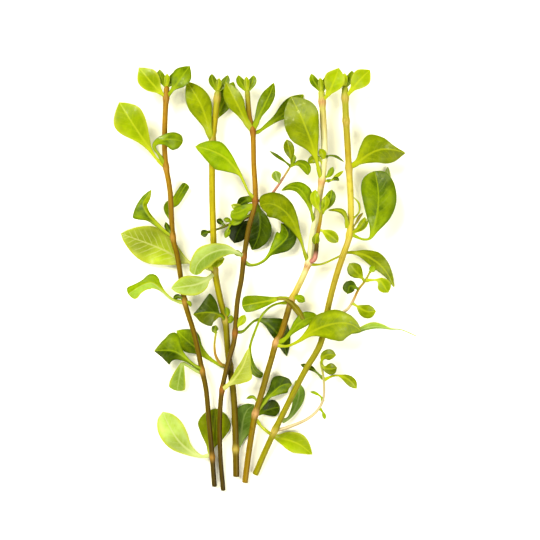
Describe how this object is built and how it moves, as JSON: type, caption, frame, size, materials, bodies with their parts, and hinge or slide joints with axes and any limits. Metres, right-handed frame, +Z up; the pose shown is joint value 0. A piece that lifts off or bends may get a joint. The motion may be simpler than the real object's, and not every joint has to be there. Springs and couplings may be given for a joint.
{
  "type": "ludwigia mullertii",
  "caption": "Bunch of cut ludwigia stems with opposite spoon-shaped green leaves and small side shoots, lying on a flat surface.",
  "frame": {"origin": "middle of the bunch in X and Y, at the surface it lies on", "axes": "+Y from the cut ends to the growing tips, +Z up from the surface"},
  "size_m": [0.1522, 0.2134, 0.0166],
  "materials": {
    "stem_brown": "smooth, waxy",
    "stem_olive": "smooth, waxy",
    "stem_gold": "smooth, waxy",
    "side_shoot": "smooth, waxy",
    "leaf_lime": "satin leaf",
    "leaf_olive": "satin leaf",
    "leaf_green": "glossy leaf",
    "leaf_dark": "glossy leaf",
    "leaf_pale": "satin leaf underside"
  },
  "bodies": {
    "root": {"stem_a": "stem_brown", "stem_b": "stem_olive", "stem_c": "stem_brown", "stem_d": "stem_gold", "stem_e": "stem_gold", "side_shoot_pink": "side_shoot", "side_shoot_d": "side_shoot", "side_shoot_e_upper": "side_shoot", "side_shoot_e_lower": "side_shoot", "side_shoot_b": "side_shoot", "side_shoot_c": "side_shoot", "leaf_a1_left": "leaf_lime", "leaf_a1_front": "leaf_green", "leaf_a2_left": "leaf_green", "leaf_a2_back": "leaf_green", "leaf_a3_left": "leaf_lime", "leaf_a4_upper": "leaf_dark", "leaf_a4_hanging": "leaf_pale", "leaf_a5_left": "leaf_pale", "leaf_a5_under": "leaf_olive", "leaf_a6_left": "leaf_lime", "leaf_a6_right": "leaf_green", "leaf_b1_left": "leaf_olive", "leaf_b1_right": "leaf_green", "leaf_b2_left": "leaf_pale", "leaf_b2_front": "leaf_pale", "leaf_b3_left": "leaf_olive", "leaf_b4_left": "leaf_green", "leaf_b5_up": "leaf_green", "leaf_c1_left": "leaf_olive", "leaf_c1_middle": "leaf_green", "leaf_c1_right": "leaf_green", "leaf_c2_left": "leaf_lime", "leaf_c2_behind": "leaf_dark", "leaf_c2_glossy": "leaf_green", "leaf_c2_upper": "leaf_dark", "leaf_c3_left": "leaf_pale", "leaf_c3_right": "leaf_green", "leaf_c4_right": "leaf_dark", "leaf_c5_right": "leaf_pale", "leaf_d1_top": "leaf_olive", "leaf_d1_arched": "leaf_green", "leaf_d2_left": "leaf_olive", "leaf_d2_right": "leaf_olive", "leaf_d3_lime": "leaf_lime", "leaf_d3_thin": "leaf_green", "leaf_d4_fold": "leaf_green", "leaf_d4_right": "leaf_olive", "leaf_d5_up": "leaf_dark", "leaf_d5_under": "leaf_dark", "leaf_d5_right": "leaf_lime", "leaf_d6_right": "leaf_lime", "leaf_e2_right": "leaf_olive", "leaf_e3_right": "leaf_green", "leaf_e3_behind": "leaf_pale", "leaf_e3_left": "leaf_olive", "leaf_e4_right": "leaf_lime", "leaf_e5_right": "leaf_green", "leaf_e6_left": "leaf_lime"}
  },
  "joints": []
}
